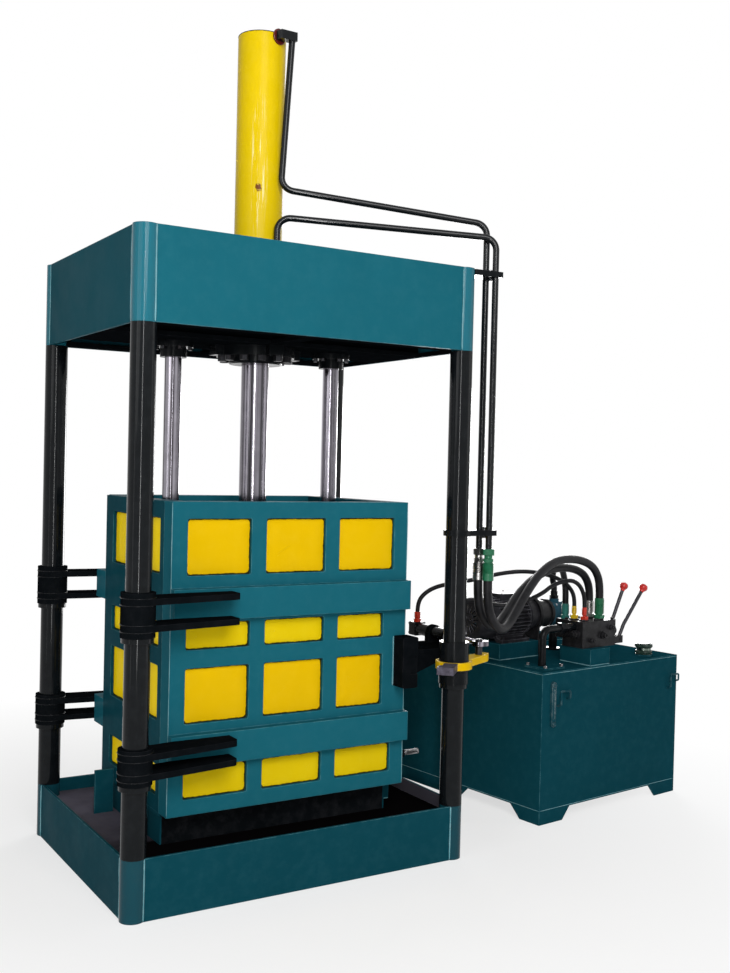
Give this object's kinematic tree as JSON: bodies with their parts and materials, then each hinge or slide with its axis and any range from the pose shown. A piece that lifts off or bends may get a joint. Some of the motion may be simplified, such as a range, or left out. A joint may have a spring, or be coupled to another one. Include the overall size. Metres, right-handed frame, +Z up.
{
  "type": "vertical hydraulic baler",
  "caption": "Vertical hydraulic baler on corner columns: press cylinder and platen over a chamber with hinged front and rear doors, swinging locks and a separate hydraulic power unit.",
  "frame": {"origin": "centre of the underside of the baler's base, on the floor", "axes": "+X to the right along the front (power unit side), +Y to the rear, +Z up along the press rod"},
  "size_m": [3.3347, 1.4802, 3.745],
  "materials": {
    "teal_paint": "semi-gloss paint",
    "yellow_paint": "semi-gloss paint",
    "black_paint": "gloss paint",
    "deck_paint": "worn primer",
    "chrome": "hard chrome, polished",
    "dark_steel": "oiled",
    "bright_steel": "zinc plated",
    "hose_rubber": "smooth",
    "red_plastic": "gloss",
    "red_fitting": "anodised",
    "yellow_fitting": "anodised",
    "green_fitting": "anodised",
    "teal_fitting": "anodised",
    "silver_fitting": "zinc plated",
    "motor_paint": "satin paint",
    "pump_paint": "satin paint",
    "cap_green": "gloss",
    "gauge": "clear window in a dark frame",
    "iron": "painted black"
  },
  "bodies": {
    "frame": {"base_frame": "teal_paint", "base_deck": "deck_paint", "columns": "black_paint", "crown_box": "teal_paint", "crown_web": "black_paint", "cylinder_tube": "yellow_paint", "crown_flanges": "black_paint", "crown_bolts": "dark_steel", "side_walls": "teal_paint", "side_panels": "yellow_paint", "chamber_bed": "black_paint", "lock_cylinder": "black_paint", "lock_shelf": "black_paint", "press_pipes": "black_paint", "pipe_clamps": "black_paint", "fittings_red": "red_fitting", "fitting_yellow": "yellow_fitting", "fittings_green": "green_fitting", "fittings_silver": "silver_fitting", "fitting_pump": "teal_fitting", "tank": "teal_paint", "tank_lid": "teal_paint", "breather_cap": "cap_green", "level_gauge": "gauge", "tank_hooks": "bright_steel", "valve_block": "iron", "unit_stands": "teal_paint", "oil_lines": "black_paint", "motor_body": "motor_paint", "fan_cowl": "motor_paint", "bell_housing": "iron", "pump": "pump_paint", "hose_green": "hose_rubber", "hose_silver": "hose_rubber", "hose_yellow": "hose_rubber", "hose_red": "hose_rubber", "hose_pump": "hose_rubber"},
    "ram": {"press_rod": "chrome", "guide_rods": "chrome", "platen": "black_paint"},
    "front_door_body": {"front_door": "teal_paint", "front_panels": "yellow_paint", "front_arms": "black_paint", "front_keeper": "black_paint"},
    "hand_latch": {"latch_lever": "bright_steel"},
    "rear_door_body": {"rear_door": "teal_paint", "rear_panels": "yellow_paint", "rear_arms": "black_paint", "rear_keeper": "black_paint"},
    "front_lock": {"lock_plate": "yellow_paint", "lock_sleeve": "black_paint", "lock_pin": "dark_steel"},
    "lock_piston": {"lock_rod": "chrome"},
    "rear_lock_body": {"rear_lock": "yellow_paint", "rear_lock_sleeve": "black_paint"},
    "valve_lever_a": {"lever_a": "dark_steel", "knob_a": "red_plastic"},
    "valve_lever_b": {"lever_b": "dark_steel", "knob_b": "red_plastic"},
    "fan": {"motor_fan": "red_plastic"}
  },
  "joints": [
    {"name": "press_slide", "type": "slide", "parent": "frame", "child": "ram", "axis": [0, 0, 1], "range_m": [-0.12, 0.78]},
    {"name": "front_door_hinge", "type": "hinge", "parent": "frame", "child": "front_door_body", "pos_m": [-0.7575, -0.5775, 0.9], "axis": [0, 0, -1], "range_deg": [0, 120]},
    {"name": "hand_latch_hinge", "type": "hinge", "parent": "front_door_body", "child": "hand_latch", "pos_m": [0.593, -0.401, 0.455], "axis": [0, -1, 0], "range_deg": [0, 75]},
    {"name": "rear_door_hinge", "type": "hinge", "parent": "frame", "child": "rear_door_body", "pos_m": [-0.7575, 0.5775, 0.9], "axis": [0, 0, 1], "range_deg": [0, 120]},
    {"name": "front_lock_swing", "type": "hinge", "parent": "frame", "child": "front_lock", "pos_m": [0.7575, -0.5775, 0.9], "axis": [0, 0, -1], "range_deg": [0, 45]},
    {"name": "lock_rod_slide", "type": "slide", "parent": "frame", "child": "lock_piston", "axis": [0, -1, 0], "range_m": [0, 0.1723]},
    {"name": "rear_lock_swing", "type": "hinge", "parent": "frame", "child": "rear_lock_body", "pos_m": [0.7575, 0.5775, 0.9], "axis": [0, 0, 1], "range_deg": [0, 45]},
    {"name": "valve_lever_a_hinge", "type": "hinge", "parent": "frame", "child": "valve_lever_a", "pos_m": [2.1052, -0.25023, 0.872], "axis": [-0.1184, 0.993, 0], "range_deg": [-12, 12], "stiffness_Nm_per_rad": 40},
    {"name": "valve_lever_b_hinge", "type": "hinge", "parent": "frame", "child": "valve_lever_b", "pos_m": [2.09691, -0.18072, 0.872], "axis": [-0.1184, 0.993, 0], "range_deg": [-12, 12], "stiffness_Nm_per_rad": 40},
    {"name": "fan_spin", "type": "hinge", "parent": "frame", "child": "fan", "pos_m": [1.3578, 0.06348, 0.98], "axis": [0.993, 0.1184, 0], "continuous": true}
  ],
  "couplings": [
    {"joint": "lock_rod_slide", "follows": "front_lock_swing", "m_per_rad": 0.21926}
  ]
}
